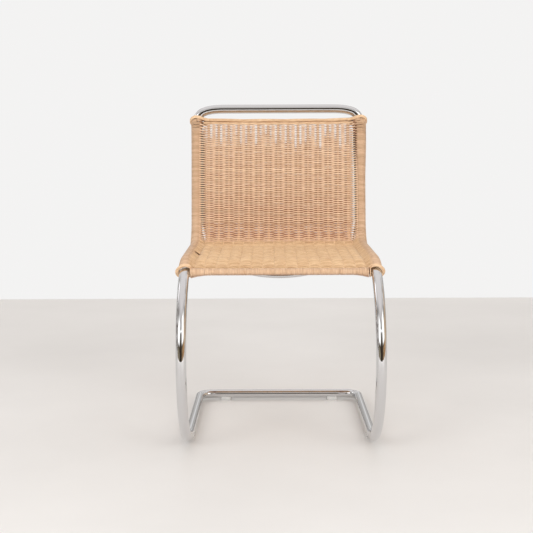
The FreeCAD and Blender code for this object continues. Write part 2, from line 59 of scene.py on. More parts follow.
BEND_TURN = math.pi / 2 - POST_RAKE - SEAT_RISE
RAIL_Y = ARC_Y - ARC_RADIUS * math.sin(SEAT_RISE)
RAIL_Z = ARC_Z + ARC_RADIUS * math.cos(SEAT_RISE)
BEND_Y = RAIL_Y + RAIL_LENGTH * math.cos(SEAT_RISE)
BEND_Z = RAIL_Z + RAIL_LENGTH * math.sin(SEAT_RISE)
BEND_CENTRE_Y = BEND_Y - BEND_RADIUS * math.sin(SEAT_RISE)
BEND_CENTRE_Z = BEND_Z + BEND_RADIUS * math.cos(SEAT_RISE)
BEND_START = RAIL_LENGTH
BEND_END = RAIL_LENGTH + BEND_RADIUS * BEND_TURN
POST_Y = BEND_CENTRE_Y + BEND_RADIUS * math.cos(POST_RAKE)
POST_Z = BEND_CENTRE_Z - BEND_RADIUS * math.sin(POST_RAKE)
BORDER_RUN = -ARC_RADIUS * (FRONT_TURN - SEAT_RISE)
BACK_UP = (0, math.sin(POST_RAKE), math.cos(POST_RAKE))
BACK_OUT = (0, -math.cos(POST_RAKE), math.sin(POST_RAKE))


def side_line(run):
    """Point and heading of a side tube's centre line, run metres behind the front arc's end."""
    if run < 0:
        heading = SEAT_RISE - run / ARC_RADIUS
        return ARC_Y - ARC_RADIUS * math.sin(heading), ARC_Z + ARC_RADIUS * math.cos(heading), heading
    if run < BEND_START:
        y = RAIL_Y + run * math.cos(SEAT_RISE)
        return y, RAIL_Z + run * math.sin(SEAT_RISE), SEAT_RISE
    if run < BEND_END:
        heading = SEAT_RISE + (run - BEND_START) / BEND_RADIUS
        y = BEND_CENTRE_Y + BEND_RADIUS * math.sin(heading)
        return y, BEND_CENTRE_Z - BEND_RADIUS * math.cos(heading), heading
    up = run - BEND_END
    y = POST_Y + up * math.sin(POST_RAKE)
    return y, POST_Z + up * math.cos(POST_RAKE), math.pi / 2 - POST_RAKE


def in_sheet(x, run, proud):
    """World point at x, run along the side line and proud of it towards the sitter."""
    y, z, heading = side_line(run)
    return x, y - proud * math.sin(heading), z + proud * math.cos(heading)


def on_back(x, up, proud):
    """World point in the plane of the back, up the posts."""
    return in_sheet(x, BEND_END + up, proud)


def smooth(value, low, high):
    """0 below low, 1 above high, eased between."""
    u = min(1.0, max(0.0, (value - low) / (high - low)))
    return u * u * (3 - 2 * u)


def window(value, rise, full, fade, end):
    """0 outside rise and end, 1 from full to fade, eased between."""
    return smooth(value, rise, full) * (1 - smooth(value, fade, end))


def wander(count, step, memory):
    """Seeded drift, one value per item, each keeping a share of the last."""
    drift = 0.0
    values = []
    for _ in range(count):
        drift = drift * memory + RNG.gauss(0, step)
        values.append(drift)
    return values


def spline(knots, steps):
    """Catmull-Rom curve through the knots, from the first to the last."""
    line = [np.array(knot, dtype=float) for knot in knots]
    line = [2 * line[0] - line[1]] + line + [2 * line[-1] - line[-2]]
    curve = []
    for p0, p1, p2, p3 in zip(line, line[1:], line[2:], line[3:]):
        for step in range(steps):
            t = step / steps
            curve.append(0.5 * (2 * p1 + (p2 - p0) * t + (2 * p0 - 5 * p1 + 4 * p2 - p3) * t * t
                                + (3 * p1 - p0 - 3 * p2 + p3) * t ** 3))
    curve.append(line[-2])
    return curve


# Round canes along polylines, all in one mesh per piece.

# Painted shade on the canes, by how far each point stands out of the weave or sits deep in it.
OPEN_HEIGHT = 1.2 * MM
SHADE_SPAN = 1.8 * MM
DEEP_START = -3.2 * MM
DEEP_SPAN = 2.0 * MM


def ring_directions(path, angles):
    """Unit directions round each point of a path, carried along it without twist."""
    ahead = np.gradient(path, axis=0)
    ahead /= np.linalg.norm(ahead, axis=1)[:, None]
    seed = np.array([0.0, 0.3, 1.0]) if abs(ahead[0][2]) < 0.8 else np.array([0.2, 1.0, 0.0])
    across = np.cross(seed, ahead[0])
    across /= np.linalg.norm(across)
    side = np.zeros_like(path)
    for i, heading in enumerate(ahead):
        across = across - heading * np.dot(across, heading)
        across /= np.linalg.norm(across)
        side[i] = across
    other = np.cross(ahead, side)
    along_side = side[:, None, :] * np.cos(angles)[None, :, None]
    return along_side + other[:, None, :] * np.sin(angles)[None, :, None]


def hollow_shade(ring, radii, outward, proud):
    """How deep each point sits in the weave, for its painted shade: 0 in the open, 1 in a hollow, up to 2 far
    inside.
    """
    facing = np.einsum("ijk,ik->ij", ring, outward)
    stands = (proud[:, None] + radii * facing) * np.tanh(3 * facing)
    hollow = np.clip((OPEN_HEIGHT - stands) / SHADE_SPAN, 0.0, 1.0)
    hollow = hollow * hollow * (3 - 2 * hollow)
    return hollow + np.clip((DEEP_START - proud) / DEEP_SPAN, 0.0, 1.0)[:, None]


class Strands:
    """Canes of one piece, each point with what the cane material reads there."""

    def __init__(self):
        self.verts = []
        self.faces = []
        self.flow = []
        self.hollow = []
        self.count = 0

    def add(self, points, radius, sides, tone, cover=None):
        """One cane. cover holds, per point, the way it is seen from and how far it stands out that way."""
        path = np.asarray(points, dtype=float)
        total = len(path)
        radii = np.broadcast_to(radius, total)[:, None]
        angles = np.linspace(0, 2 * math.pi, sides, endpoint=False)
        ring = ring_directions(path, angles)
        # Painted shade: how deep each point sits, which darkens the cane's colour in the material.
        hollow = np.zeros((total, sides)) if cover is None else hollow_shade(ring, radii, *cover)
        steps = np.linalg.norm(np.diff(path, axis=0), axis=1)
        along = RNG.uniform(0, 5) + np.concatenate([[0.0], np.cumsum(steps)])
        flow = np.zeros((total, sides, 3))
        flow[:, :, 0] = along[:, None]
        flow[:, :, 1] = angles[None, :]
        flow[:, :, 2] = np.broadcast_to(tone, total)[:, None]
        self.join(total, sides)
        self.verts.append((path[:, None, :] + ring * radii[:, :, None]).reshape(-1, 3))
        self.flow.append(flow.reshape(-1, 3))
        self.hollow.append(hollow.reshape(-1))
        self.count += total * sides

    def join(self, total, sides):
        """Faces between the rings of the next cane, and its two ends."""
        rows = self.count + sides * np.arange(total - 1)[:, None]
        here = np.arange(sides)[None, :]
        beside = (here + 1) % sides
        quads = np.stack([rows + here, rows + beside, rows + sides + beside, rows + sides + here], axis=-1)
        self.faces.extend(map(tuple, quads.reshape(-1, 4).tolist()))
        self.faces.append(tuple(range(self.count + sides - 1, self.count - 1, -1)))
        last = self.count + (total - 1) * sides
        self.faces.append(tuple(range(last, last + sides)))

    def make(self, name, material, slot, *nodes):
        """The piece itself, in place of the nodes that it stands for."""
        mesh = bpy.data.meshes.new(name)
        mesh.from_pydata(np.concatenate(self.verts).tolist(), [], self.faces)
        mesh.polygons.foreach_set("use_smooth", [len(face) == 4 for face in self.faces])
        flow = mesh.attributes.new("flow", "FLOAT_VECTOR", "POINT")
        flow.data.foreach_set("vector", np.concatenate(self.flow).astype(np.float32).ravel())
        hollow = mesh.attributes.new("hollow", "FLOAT", "POINT")
        hollow.data.foreach_set("value", np.concatenate(self.hollow).astype(np.float32))
        mesh.materials.append(material)
        mesh.update()
        piece = bpy.data.objects.new(name, mesh)
        bpy.context.scene.collection.objects.link(piece)
        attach(piece, "root")
        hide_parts(*nodes)


# Materials.

class Graph:
    """Shader nodes of a material or the world. Values are numbers, colours or outputs of other nodes."""

    def __init__(self, tree):
        self.nodes = tree.nodes
        self.links = tree.links

    def feed(self, socket, value):
        """Link a socket to an output, or set it."""
        if isinstance(value, bpy.types.NodeSocket):
            self.links.new(value, socket)
        else:
            socket.default_value = (*value, 1) if isinstance(value, tuple) else value

    def place(self, kind):
        """Coordinates of the point that is shaded."""
        return self.nodes.new("ShaderNodeTexCoord").outputs[kind]

    def attribute(self, name, output):
        """What a mesh holds under this name."""
        node = self.nodes.new("ShaderNodeAttribute")
        node.attribute_name = name
        return node.outputs[output]

    def axes(self, vector):
        """The three parts of a vector."""
        node = self.nodes.new("ShaderNodeSeparateXYZ")
        self.feed(node.inputs[0], vector)
        return node.outputs

    def stretched(self, vector, scale):
        """A vector scaled by axis."""
        node = self.nodes.new("ShaderNodeVectorMath")
        node.operation = "MULTIPLY"
        node.inputs[1].default_value = scale
        self.feed(node.inputs[0], vector)
        return node.outputs[0]

    def noise(self, vector, scale, detail):
        """Smooth noise, about 0.5 in the middle."""
        node = self.nodes.new("ShaderNodeTexNoise")
        node.inputs["Scale"].default_value = scale
        node.inputs["Detail"].default_value = detail
        self.feed(node.inputs["Vector"], vector)
        return node.outputs["Fac"]

    def reckon(self, operation, *values):
        """One sum on up to three values."""
        node = self.nodes.new("ShaderNodeMath")
        node.operation = operation
        for socket, value in zip(node.inputs, values):
            self.feed(socket, value)
        return node.outputs[0]

    def remap(self, value, source, target, kind="LINEAR"):
        """A value moved from the source range to the target range, and kept inside it."""
        node = self.nodes.new("ShaderNodeMapRange")
        node.interpolation_type = kind
        for name, number in zip(("From Min", "From Max", "To Min", "To Max"), (*source, *target)):
            node.inputs[name].default_value = number
        self.feed(node.inputs["Value"], value)
        return node.outputs[0]

    def ease(self, value, low, high):
        """0 at low, 1 at high, eased between; low may be the greater."""
        return self.remap(value, (low, high), (0, 1), "SMOOTHSTEP")

    def blend(self, factor, under, over, kind="MIX"):
        """Two colours blended."""
        node = self.nodes.new("ShaderNodeMix")
        node.data_type = "RGBA"
        node.blend_type = kind
        for name, value in (("Factor", factor), ("A", under), ("B", over)):
            self.feed(node.inputs[name], value)
        return node.outputs["Result"]

    def ramp(self, value, stops):
        """Colours along a value, by stops of place and colour."""
        node = self.nodes.new("ShaderNodeValToRGB")
        bar = node.color_ramp
        while len(bar.elements) < len(stops):
            bar.elements.new(0.5)
        for element, (place, colour) in zip(bar.elements, stops):
            element.position = place
            element.color = (*colour, 1)
        self.feed(node.inputs[0], value)
        return node.outputs[0]

    def bump(self, height, strength, distance):
        """Normals of a slightly uneven surface."""
        node = self.nodes.new("ShaderNodeBump")
        node.inputs["Strength"].default_value = strength
        node.inputs["Distance"].default_value = distance
        self.feed(node.inputs["Height"], height)
        return node.outputs[0]


def new_material(name):
    """A material, its graph and the inputs of its shader."""
    material = bpy.data.materials.new(name)
    material.use_nodes = True
    graph = Graph(material.node_tree)
    return material, graph, graph.nodes["Principled BSDF"].inputs


STREAK_STRETCH = (60, 0.9, 61)
FIBRE_STRETCH = (160, 5.0, 97)
# Painted shade: colours that multiply the cane by how deep in the weave it sits, near black far inside.
HOLLOW_SHADES = [(0.0, (1, 1, 1)), (0.5, (0.37, 0.165, 0.09)), (1.0, (0.05, 0.025, 0.015))]


def cane_material(name, pale, dark, deep, rough=0.42, coat=0.25):
    """Varnished cane: tone by strand, streaks, small dark flecks, painted shade in the hollows and a waxy
    coat.
    """
    material, graph, shader = new_material(name)
    flow = graph.attribute("flow", "Vector")
    streak = graph.noise(graph.stretched(flow, STREAK_STRETCH), scale=1.0, detail=3.0)
    fibre = graph.noise(graph.stretched(flow, FIBRE_STRETCH), scale=1.0, detail=2.0)
    patch = graph.noise(graph.place("Object"), scale=9.0, detail=2.0)
    tone = graph.reckon("MULTIPLY_ADD", graph.axes(flow)[2], 0.2, -0.35)
    tone = graph.reckon("MULTIPLY_ADD", streak, 1.3, tone)
    tone = graph.reckon("MULTIPLY_ADD", patch, 0.2, tone)
    colour = graph.ramp(tone, [(0.25, dark), (0.75, pale)])
    colour = graph.blend(graph.remap(fibre, (0.62, 0.74), (0, 0.55)), colour, deep)
    # Painted shade darkens the colour in the hollows of the weave.
    hollow = graph.remap(graph.attribute("hollow", "Fac"), (0, 2), (0, 1))
    colour = graph.blend(1.0, colour, graph.ramp(hollow, HOLLOW_SHADES), "MULTIPLY")
    graph.feed(shader["Base Color"], colour)
    graph.feed(shader["Roughness"], graph.remap(fibre, (0, 1), (rough - 0.08, rough + 0.14)))
    graph.feed(shader["Normal"], graph.bump(fibre, strength=0.25, distance=0.3 * MM))
    shader["Coat Weight"].default_value = coat
    shader["Coat Roughness"].default_value = 0.28
    return material


def chrome_material(name, base=(0.69, 0.69, 0.70), rough=0.045):
    """Polished plate with a faint haze, a slight unevenness and a few dull specks."""
    material, graph, shader = new_material(name)
    where = graph.place("Object")
    haze = graph.noise(where, scale=14.0, detail=4.0)
    speck = graph.noise(where, scale=420.0, detail=2.0)
    dull = graph.remap(haze, (0, 1), (rough * 0.5, rough * 1.7))
    spots = graph.remap(speck, (0.70, 0.80), (0, 0.18))
    graph.feed(shader["Roughness"], graph.reckon("ADD", dull, spots))
    graph.feed(shader["Normal"], graph.bump(haze, strength=0.05, distance=0.4 * MM))
    graph.feed(shader["Base Color"], base)
    shader["Metallic"].default_value = 1.0
    return material


def clear_plastic(name):
    """Clear, slightly cloudy plastic."""
    material, graph, shader = new_material(name)
    cloud = graph.noise(graph.place("Object"), scale=90.0, detail=2.0)
    graph.feed(shader["Roughness"], graph.remap(cloud, (0, 1), (0.12, 0.34)))
    graph.feed(shader["Base Color"], (0.84, 0.84, 0.82))
    shader["Transmission Weight"].default_value = 0.4
    shader["IOR"].default_value = 1.46
    return material


def matte_floor(name, colour, spread):
    """Pale matte floor, a little cloudy."""
    material, graph, shader = new_material(name)
    cloud = graph.noise(graph.place("Object"), scale=1.4, detail=6.0)
    low = tuple(part - spread for part in colour)
    high = tuple(part + spread for part in colour)
    graph.feed(shader["Base Color"], graph.ramp(cloud, [(0.3, low), (0.7, high)]))
    shader["Roughness"].default_value = 0.55
    shader["Specular IOR Level"].default_value = 0.3
    return material


FLECK = (0.33, 0.15, 0.06)
RED_FLECK = (0.36, 0.17, 0.07)
CANE = cane_material("border_cane", (0.90, 0.66, 0.43), (0.66, 0.42, 0.24), FLECK)
# Copies of one cane: the back's paler as painted light, the seat's darker as painted shade, the wraps' darker
# partly as painted shade.
SEAT_CANE = cane_material("seat_cane", (0.825, 0.59, 0.35), (0.60, 0.37, 0.195), FLECK)
BACK_CANE = cane_material("back_cane", (0.96, 0.73, 0.52), (0.74, 0.49, 0.31), FLECK)
STAKE = cane_material("stake_cane", (0.80, 0.52, 0.30), (0.62, 0.36, 0.18), FLECK)
WRAP = cane_material("wrap_cane", (0.73, 0.51, 0.34), (0.52, 0.325, 0.19), RED_FLECK)
BINDING = cane_material("binding_cane", (0.89, 0.64, 0.43), (0.70, 0.455, 0.275), RED_FLECK,
                        rough=0.3, coat=0.6)
CHROME = chrome_material("chrome_plate")
STEEL = chrome_material("plain_steel", (0.45, 0.45, 0.46), rough=0.3)
GLIDE = clear_plastic("clear_glide")
FLOOR = matte_floor("pale_floor", (0.815, 0.80, 0.78), spread=0.03)


# Woven sheet: one cane per row, alternately before and behind each pair of stakes.

REED = 1.85 * MM
UNDER_REED = 1.4 * MM
ROW_PITCH = 3.05 * MM
ROW_DRIFT = 0.05 * MM
WAVE = 2.35 * MM
SEAT_WAVE = 0.3
SEAT_END = (BEND_START - 60 * MM, BEND_START)
TOP_WAVE = 0.35
FULLNESS = 0.8
WRAP_REACH = TUBE_RADIUS + 1.5 * MM
OUTER_STAKE = STAKES_OUT * STAKE_PITCH
LEAVE = math.radians(30)
TIP_X = HALF_GAUGE - WRAP_REACH * math.sin(LEAVE)
FIRST_ROW = BORDER_RUN + 10.2 * MM
FOLD_RUN = BEND_START + 40 * MM
BACK_TOP = 265.8 * MM
LAST_ROW = BEND_END + BACK_TOP - 1.6 * MM
HALF_SPAN = 200 * MM
SAG = 3.4 * MM
SAG_START = 120 * MM
SAG_FULL = 275 * MM

# Rows stray a little along the sheet in two waves, each with its height and its radians to a metre.
STRAY = [(0.16 * MM, 21), (0.10 * MM, 57)]

# Looser rows under the top border, and rows pulled tight and flat round the bend.
LOOSE_LENGTH = 45 * MM
LOOSENED = 0.12
PULLED = (BEND_START + 30 * MM, BEND_START + 50 * MM, BEND_START + 60 * MM, BEND_END)
DRAWN_OUT = 0.24
TIGHTENED = 0.7

# Groups of rows up to a run, each with its node, its cane, its points to a stake and a shift of tone, which
# paints shade high in the bend.
Group = namedtuple("Group", "name end node cane steps tone")
GROUPS = [
    Group("seat_front", (BORDER_RUN + RAIL_LENGTH) / 2, "seat_weave", SEAT_CANE, 9, 0),
    Group("seat_rear", BEND_START, "seat_weave", SEAT_CANE, 9, 0),
    Group("bend_low", FOLD_RUN, "bend_weave", SEAT_CANE, 9, 0),
    # Painted shade: a darker tone on the rows high in the bend.
    Group("bend_high", BEND_END, "bend_weave", BACK_CANE, 9, -0.9),
    Group("back_low", BEND_END + 130 * MM, "back_weave", BACK_CANE, 9, 0),
    Group("back_high", math.inf, "back_weave", BACK_CANE, 14, 0),
]

# Under the top border the stakes' ends are turned back down, and the canes beside them stand apart:
# length of each turned end, then length and strength of the gap on each side of a stake.
TUCKED = [RNG.uniform(26, 66) * MM for _ in range(2 * STAKES_OUT + 1)]
STREAKS = [(RNG.uniform(26, 68) * MM, RNG.uniform(0.7, 1.15)) for _ in range(4 * STAKES_OUT + 2)]
TUCK_FADE = 15 * MM
STREAK_FADE = 14 * MM
BESIDE_STAKE = (2.3 * MM, 4.6 * MM, 8.6 * MM, 11.0 * MM)
OPENED = 0.5 * MM
THINNED = 0.58

# Painted shade and light on the rows: more shade low on the back, light where they leave the tube, shade just
# inside.
LOW_BACK = (BEND_START + 34 * MM, BEND_START + 44 * MM, BEND_END + 20 * MM, BEND_END + 110 * MM)
LOW_SHADE = 0.9 * MM
TOP_LIGHT = 1.5 * MM
RUNG_START = (OUTER_STAKE + 3 * MM, OUTER_STAKE + 6 * MM)
RUNG_END = (197 * MM, 204 * MM)
LEAVING = (202 * MM, 205 * MM, 211 * MM, 214 * MM)
INSIDE = (195 * MM, 199 * MM, 201 * MM, 204 * MM)
LEAVING_LIGHT = 1.7
INSIDE_SHADE = 2.2

# Turns round the tubes: how they close, lean and swell at the top, and their painted shade on the inner
# flanks.
SWEEP = math.radians(600)
CLOSING_TURNS = 5
BURIED_TURNS = 2
CLOSING_PITCH = 1.8 * MM
BURIED_DEPTH = 0.9 * MM
UNDER_DEPTH = 1.1 * MM
UNDER_START = math.radians(25)
UNDER_FINISH = math.radians(155)
UNDER_HIDDEN = 0.8
LEAN = 9.0 * MM
LEAN_START = BEND_END + 234 * MM
LEAN_LENGTH = 37 * MM
SWELL_LEFT = (0.5 * MM, 190 * MM, 260 * MM)
SWELL_RIGHT = (2.9 * MM, 105 * MM, 225 * MM)
OPEN_PROUD = 3.0 * MM
FLANK_ANGLE = math.radians(84)
FLANK_EDGE = (0.62, 0.86)
FLANK_LOW = (BEND_START + 50 * MM, BEND_END)
FLANK_TOP = (BEND_END + 222 * MM, BEND_END + 258 * MM)
FLANK_SHADE = 8.5 * MM
HIDDEN_SHADE = 9.0 * MM

# Brace below the rails, and one slit beside the left rail.
BRACE_RUN = 63.7 * MM
BRACE_CLEAR = 8.0 * MM
BRACE_REACH = 2.2 * BRACE_CLEAR
BRACE_ANGLE = math.radians(130)
BRACE_EDGE = (0.1, 0.6)
SLIT_RUN = 100 * MM
SLIT_HALF = 14.5 * MM
SLIT_REACH = 48 * MM
SLIT_ANGLE = math.radians(96)
SLIT_EDGE = (0.6, 0.76)
SLIT_ROWS = (193 * MM, 200 * MM, 211 * MM, 215 * MM)
SLIT_CANES = 12
SLIT_PITCH = 2.5 * MM
SLIT_KNOTS = [(-219, 10.6), (-214, 8.2), (-210.5, 4.0), (-206, -0.5), (-199, -3.2), (-190, -4.0)]
SLIT_DEPTH = -6.0 * MM


def tight(run):
    """Where the sheet is pulled round the bend, 0 to 1."""
    return window(run, *PULLED)


def row_runs():
    """Where each row lies along the side line."""
    runs = []
    run = FIRST_ROW
    while run < LAST_ROW:
        runs.append(run)
        loose = max(0.0, 1 - (LAST_ROW - run) / LOOSE_LENGTH)
        run += ROW_PITCH * (1 + LOOSENED * loose + DRAWN_OUT * tight(run))
    return runs


def sag(x, run):
    """How much higher the upper rows lie at x than in the middle, where they hang."""
    near = smooth(run - BEND_END, SAG_START, SAG_FULL)
    return near * SAG * (abs(x) / HALF_SPAN) ** 2.4


def nearest_stake(x):
    """Number of the nearest pair of stakes, from the middle."""
    return max(-STAKES_OUT, min(STAKES_OUT, round(x / STAKE_PITCH)))


def near_top(x, run):
    """0 in the body of the back, 1 beside a stake's turned end under the top border."""
    level = BEND_END + BACK_TOP - TUCKED[nearest_stake(x) + STAKES_OUT]
    return smooth(run, level - TUCK_FADE, level + TUCK_FADE)


def spread(x, run):
    """How much the canes thin out on both sides of a stake near the top, about 0 to 1."""
    stake = nearest_stake(x)
    length, strength = STREAKS[2 * (stake + STAKES_OUT) + (x > STAKE_PITCH * stake)]
    level = BEND_END + BACK_TOP - length
    beside = window(abs(x - STAKE_PITCH * stake), *BESIDE_STAKE)
    return strength * smooth(run, level - STREAK_FADE, level + STREAK_FADE) * beside


def wave_at(x, run):
    """Height of the rows' wave: full on the seat, pulled tight in the bend, loose near the top."""
    seat = 1 - smooth(run, *SEAT_END)
    return WAVE * (1 + SEAT_WAVE * seat - TIGHTENED * tight(run) + TOP_WAVE * near_top(x, run))


def proud_at(x, hand, run):
    """How far a row stands proud of the middle of the sheet, hand +1 or -1 for the two sets of rows.

    Past the outer stake it runs on in one smooth curve, in front of the tube or behind it.
    """
    out = abs(x)
    wave = wave_at(x, run)
    if out <= OUTER_STAKE:
        phase = math.cos(math.pi * x / STAKE_PITCH)
        return hand * wave * math.copysign(abs(phase) ** FULLNESS, phase)
    sign = hand * (1 if STAKES_OUT % 2 == 0 else -1)
    tip = -sign * WRAP_REACH * math.cos(LEAVE)
    span = TIP_X - OUTER_STAKE
    u = min(1.0, (out - OUTER_STAKE) / span)
    slope = -sign * math.tan(LEAVE) * span
    h00 = 2 * u ** 3 - 3 * u ** 2 + 1
    h01 = -2 * u ** 3 + 3 * u ** 2
    h11 = u ** 3 - u ** 2
    return h00 * sign * wave + h01 * tip + h11 * slope


def seen_depth(x, run, stands):
    """How proud a row counts for its painted shade: less low on the back, more near the top and the tubes."""
    out = abs(x)
    rung = smooth(out, *RUNG_START) * smooth(run, *FLANK_LOW)
    if stands < 0 and rung > 0:
        stands *= 1 - rung * (1 - smooth(out, *RUNG_END))
    if out <= OUTER_STAKE:
        stands /= 1 - TIGHTENED * tight(run)
    return stands - LOW_SHADE * window(run, *LOW_BACK) + TOP_LIGHT * near_top(x, run)


def rung_light_and_shade(x, run):
    """Painted light on rows of the back where they leave the tube, and painted shade just inside of that."""
    tone = LEAVING_LIGHT * window(abs(x), *LEAVING) - INSIDE_SHADE * window(abs(x), *INSIDE)
    return tone * smooth(run, BEND_END - 40 * MM, BEND_END)


def lean(run, front):
    """The last turns lean with the top collars, high in front and low behind."""
    near = min(1.0, max(0.0, (run - LEAN_START) / LEAN_LENGTH))
    return LEAN * near * near * front


def swell(side, run):
    """Turns build up a little towards the top, more on the right."""
    most, low, high = SWELL_RIGHT if side > 0 else SWELL_LEFT
    return most * smooth(run - BEND_END, low, high)


def slit(run):
    """How far strands draw apart to both sides of the one slit beside the left rail."""
    off = run - SLIT_RUN
    return math.copysign(SLIT_HALF * max(0.0, 1 - abs(off) / SLIT_REACH), off)


def parted(side, run, angle):
    """How far turns move along the tube, to both sides of the brace below and of the slit on the left."""
    shift = 0.0
    off = run - BRACE_RUN
    if abs(off) < BRACE_REACH:
        moved = math.copysign(BRACE_CLEAR + abs(off) * (BRACE_REACH - BRACE_CLEAR) / BRACE_REACH, off)
        shift += (moved - off) * smooth(math.cos(angle - BRACE_ANGLE), *BRACE_EDGE)
    if side < 0:
        shift += slit(run) * smooth(math.cos(angle - SLIT_ANGLE), *SLIT_EDGE)
    return shift


def turn_point(side, run, angle, reach):
    """Point on a turn round a side tube, angle from the front towards the inner side."""
    reach = reach + swell(side, run)
    x = side * (HALF_GAUGE - reach * math.sin(angle))
    along = run + sag(HALF_GAUGE, run) + lean(run, math.cos(angle)) + parted(side, run, angle)
    return in_sheet(x, along, reach * math.cos(angle))


def turn(side, run, pitch, start, finish, steps, reach=WRAP_REACH, hidden=0.0):
    """Turns of cane round a side tube, run being halfway along them, and their cover.

    They get painted shade on the inner flanks of the posts, and all over as hidden nears 1.
    """
    points, outward, proud = [], [], []
    for step in range(steps):
        u = step / (steps - 1)
        angle = start + (finish - start) * u
        along = run + pitch * (u - 0.5) * abs(finish - start) / (2 * math.pi)
        heading = side_line(along)[2]
        inner = smooth(math.cos(angle - FLANK_ANGLE), *FLANK_EDGE)
        flank = inner * smooth(along, *FLANK_LOW)
        shade = 1 - 0.5 * inner * smooth(along, *FLANK_TOP)
        points.append(turn_point(side, along, angle, reach))
        outward.append((-side * math.sin(angle), -math.sin(heading) * math.cos(angle),
                        math.cos(heading) * math.cos(angle)))
        proud.append(OPEN_PROUD - shade * max(FLANK_SHADE * flank, HIDDEN_SHADE * hidden))
    return points, (np.array(outward), np.array(proud))


def across(steps):
    """Places of a row's points from tube to tube, steps of them to a stake."""
    rung = np.linspace(OUTER_STAKE, TIP_X, 9)[1:]
    inner = np.linspace(-OUTER_STAKE, OUTER_STAKE, STAKES_OUT * 2 * steps + 1)
    return np.concatenate([-rung[::-1], inner, rung])


def row_end(side, i, run):
    """Where row i, at this run, meets its turn on one side."""
    leave = LEAVE if i % 2 else math.pi - LEAVE
    first = (i % 2 == 0) == (side > 0)
    tip = run + ROW_PITCH * (-1 if first else 1) / 3
    return tip + sag(HALF_GAUGE, run) + lean(tip, math.cos(leave)) + parted(side, tip, leave)


def weave_row(strands, group, i, run, tone):
    """One row from tube to tube."""
    hand = 1 if i % 2 else -1
    phases = [RNG.uniform(0, 6.28) for _ in STRAY]
    lift = RNG.uniform(-0.15, 0.15) * MM
    size = REED * RNG.uniform(0.95, 1.04)
    ends = {side: row_end(side, i, run) for side in (-1, 1)}
    points, outward, proud, sizes, tones = [], [], [], [], []
    for x in across(group.steps):
        fade = smooth(abs(x), OUTER_STAKE, TIP_X)
        apart = spread(x, run) * (1 - fade)
        stray = sum(height * math.sin(x * rate + phase) for (height, rate), phase in zip(STRAY, phases))
        stands = proud_at(x, hand, run) + lift * (1 - fade)
        level = run + stray + sag(x, run) - math.copysign(OPENED, stands) * apart
        level = level * (1 - fade) + ends[1 if x > 0 else -1] * fade
        if x < 0:
            level += slit(run) * window(-x, *SLIT_ROWS)
        heading = side_line(level)[2]
        points.append(in_sheet(x, level, stands))
        outward.append((0, -math.sin(heading), math.cos(heading)))
        proud.append(seen_depth(x, run, stands))
        sizes.append(size * (1 - THINNED * apart))
        # Tone of each point, with painted light where the row leaves the tube and painted shade just inside
        # it.
        tones.append(tone + group.tone + rung_light_and_shade(x, run))
    strands.add(points, np.array(sizes), 8, np.array(tones), (np.array(outward), np.array(proud)))


def wrap_tubes(runs, tones):
    """Turns round both side tubes that carry each row on into the next, and closer turns at the top."""
    wraps = {-1: Strands(), 1: Strands()}
    for side, strands in wraps.items():
        start = math.pi - LEAVE if side > 0 else LEAVE
        finish = start + side * SWEEP
        for i in range(0 if side > 0 else -1, len(runs), 2):
            run = (runs[max(i, 0)] + runs[min(i + 1, len(runs) - 1)]) / 2
            points, cover = turn(side, run, ROW_PITCH, start, finish, 49)
            strands.add(points, REED, 8, 1.5 * tones[i] - 0.25, cover)
        for extra in range(1, CLOSING_TURNS + 1):
            # Painted shade: the last turns lie deeper under the top collars and are dark all over.
            buried = extra > CLOSING_TURNS - BURIED_TURNS
            reach = WRAP_REACH - (BURIED_DEPTH if buried else 0)
            run = runs[-1] + extra * CLOSING_PITCH
            points, cover = turn(side, run, CLOSING_PITCH, 0, -2 * math.pi, 30, reach, 1.0 if buried else 0.0)
            strands.add(points, REED, 8, RNG.random(), cover)
    return wraps


def line_flanks(runs, wraps):
    """Thinner canes between the turns on the inner flanks, painted dark as shade in the gaps between the
    rows.
    """
    reach = WRAP_REACH - UNDER_DEPTH
    for side, strands in wraps.items():
        for i in range(1 if side > 0 else 0, len(runs) - 1, 2):
            run = (runs[i] + runs[i + 1]) / 2
            points, cover = turn(side, run, 0.0, UNDER_START, UNDER_FINISH, 11, reach, UNDER_HIDDEN)
            strands.add(points, UNDER_REED, 6, 0.5, cover)


def line_slit(strands):
    """Canes inside the slit, painted dark as the shade within it."""
    cover = (np.array([(0, 0, 1)] * len(SLIT_KNOTS)), np.array([SLIT_DEPTH] * len(SLIT_KNOTS)))
    for count in range(SLIT_CANES):
        run = SLIT_RUN + (count - (SLIT_CANES - 1) / 2) * SLIT_PITCH
        points = [in_sheet(x * MM, run, proud * MM) for x, proud in SLIT_KNOTS]
        strands.add(points, UNDER_REED, 6, 0.5, cover)


def weave_sheet():
    """Rows of the seat, the bend and the back, and the turns round the side tubes."""
    runs = row_runs()
    drift = wander(len(runs), ROW_DRIFT, 0.6)
    runs = [run + shift for run, shift in zip(runs, drift)]
    tones = [RNG.random() for _ in runs]
    woven = {group.name: Strands() for group in GROUPS}
    for i, run in enumerate(runs):
        group = next(group for group in GROUPS if run < group.end)
        weave_row(woven[group.name], group, i, run, tones[i])
    wraps = wrap_tubes(runs, tones)
    line_flanks(runs, wraps)
    line_slit(wraps[-1])
    for group in GROUPS:
        woven[group.name].make("woven_" + group.name, group.cane, "weave", group.node)
    wraps[-1].make("tube_wrap_left", WRAP, "binding", "side_wrap_left")
    wraps[1].make("tube_wrap_right", WRAP, "binding", "side_wrap_right")


weave_sheet()


# Front border: a rod bound closely with reed, fuller where it meets the tubes.

